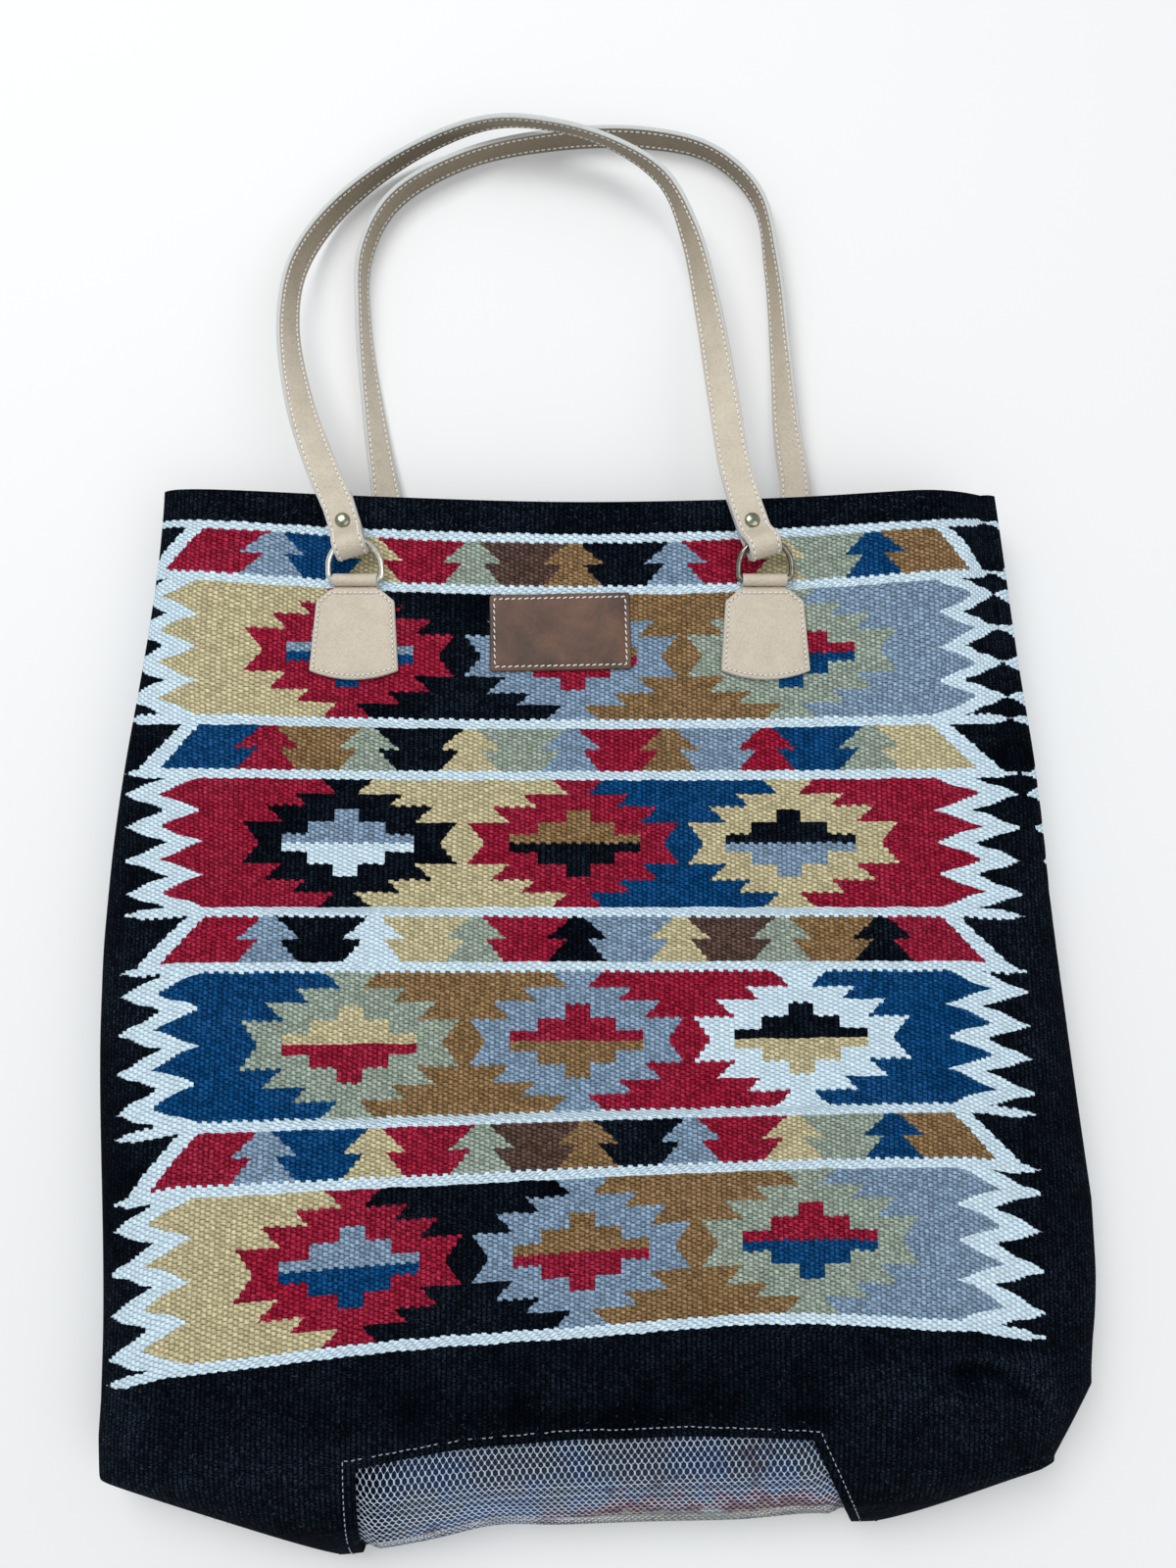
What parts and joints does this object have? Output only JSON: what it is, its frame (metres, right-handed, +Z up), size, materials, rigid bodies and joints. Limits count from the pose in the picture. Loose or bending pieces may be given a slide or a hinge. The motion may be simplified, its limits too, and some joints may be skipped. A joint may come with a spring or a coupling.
{
  "type": "tote bag",
  "caption": "Flat-woven kilim tote bag lying on its back, with leather straps on swinging D-rings, stitched leather tabs and label, and a net window in the base",
  "frame": {"origin": "on the floor under the middle of the pattern, on the flat part of the back panel", "axes": "+X across the bag to the right of its front, +Y from the base to the mouth and straps, +Z up, out of the front"},
  "size_m": [0.4846, 0.7414, 0.0636],
  "materials": {
    "front_cloth": "thick flat-woven wool, banded",
    "back_cloth": "thick flat-woven wool, banded",
    "net": "hexagonal net, slightly glossy",
    "label_leather": "waxed, stitched round the edge",
    "front_strap_leather": "pebbled grain, stitched along the edges",
    "back_strap_leather": "pebbled grain, stitched along the edges",
    "front_left_tab_leather": "pebbled grain, stitched along the edges",
    "front_left_ring_brass": "antique, worn",
    "front_left_rivet_brass": "antique, worn",
    "front_right_tab_leather": "pebbled grain, stitched along the edges",
    "front_right_ring_brass": "antique, worn",
    "front_right_rivet_brass": "antique, worn",
    "back_left_tab_leather": "pebbled grain, stitched along the edges",
    "back_left_ring_brass": "antique, worn",
    "back_left_rivet_brass": "antique, worn",
    "back_right_tab_leather": "pebbled grain, stitched along the edges",
    "back_right_ring_brass": "antique, worn",
    "back_right_rivet_brass": "antique, worn"
  },
  "bodies": {
    "bag": {"front_panel": "front_cloth", "back_panel": "back_cloth", "net_window": "net", "label_patch": "label_leather", "front_left_tab": "front_left_tab_leather", "front_right_tab": "front_right_tab_leather", "back_left_tab": "back_left_tab_leather", "back_right_tab": "back_right_tab_leather"},
    "front_rings": {"front_left_ring": "front_left_ring_brass", "front_right_ring": "front_right_ring_brass"},
    "front_handle": {"front_strap": "front_strap_leather", "front_left_rivet": "front_left_rivet_brass", "front_right_rivet": "front_right_rivet_brass"},
    "back_rings": {"back_left_ring": "back_left_ring_brass", "back_right_ring": "back_right_ring_brass"},
    "back_handle": {"back_strap": "back_strap_leather", "back_left_rivet": "back_left_rivet_brass", "back_right_rivet": "back_right_rivet_brass"}
  },
  "joints": [
    {"name": "front_ring_swing", "type": "hinge", "parent": "bag", "child": "front_rings", "pos_m": [0, 0.1815, 0.0497], "axis": [1, 0, 0], "range_deg": [0, 120]},
    {"name": "front_handle_swing", "type": "hinge", "parent": "front_rings", "child": "front_handle", "pos_m": [0, 0.1999, 0.05533], "axis": [1, 0, 0], "range_deg": [0, 40]},
    {"name": "back_ring_swing", "type": "hinge", "parent": "bag", "child": "back_rings", "pos_m": [0, 0.1815, 0.0144], "axis": [-1, 0, 0], "range_deg": [0, 120]},
    {"name": "back_handle_swing", "type": "hinge", "parent": "back_rings", "child": "back_handle", "pos_m": [0, 0.1999, 0.00877], "axis": [-1, 0, 0], "range_deg": [0, 40]}
  ]
}
